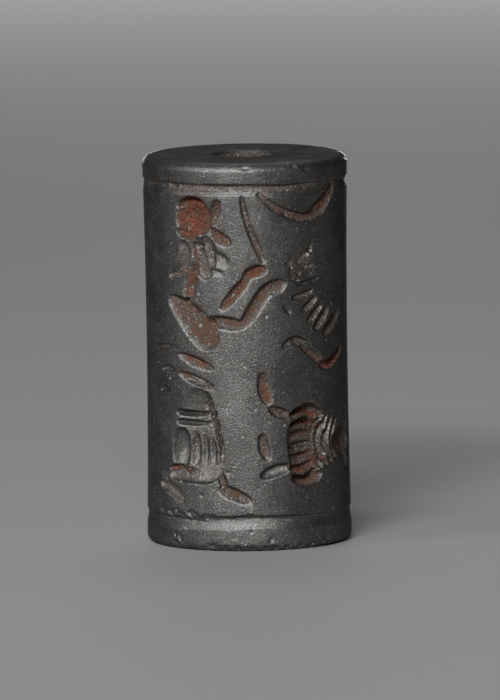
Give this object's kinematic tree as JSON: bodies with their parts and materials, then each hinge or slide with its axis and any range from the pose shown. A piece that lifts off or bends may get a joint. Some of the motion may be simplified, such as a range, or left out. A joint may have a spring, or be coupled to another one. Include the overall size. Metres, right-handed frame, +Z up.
{
  "type": "cylinder seal",
  "caption": "Drilled stone cylinder with border lines and figures carved in hollow relief round its side, for rolling a picture into clay.",
  "frame": {"origin": "middle of the bore in the plane of the flat lower end", "axes": "+Z up along the bore to the upper end, -Y out through the middle of the pictured side of the carving, +X to the right of that side"},
  "size_m": [0.013, 0.013, 0.0246],
  "materials": {
    "iron_ore_stone": "dark grey iron ore, worn satin polish, with rust-coloured residue in the cuts"
  },
  "bodies": {
    "root": {"seal_body": "iron_ore_stone"}
  },
  "joints": []
}
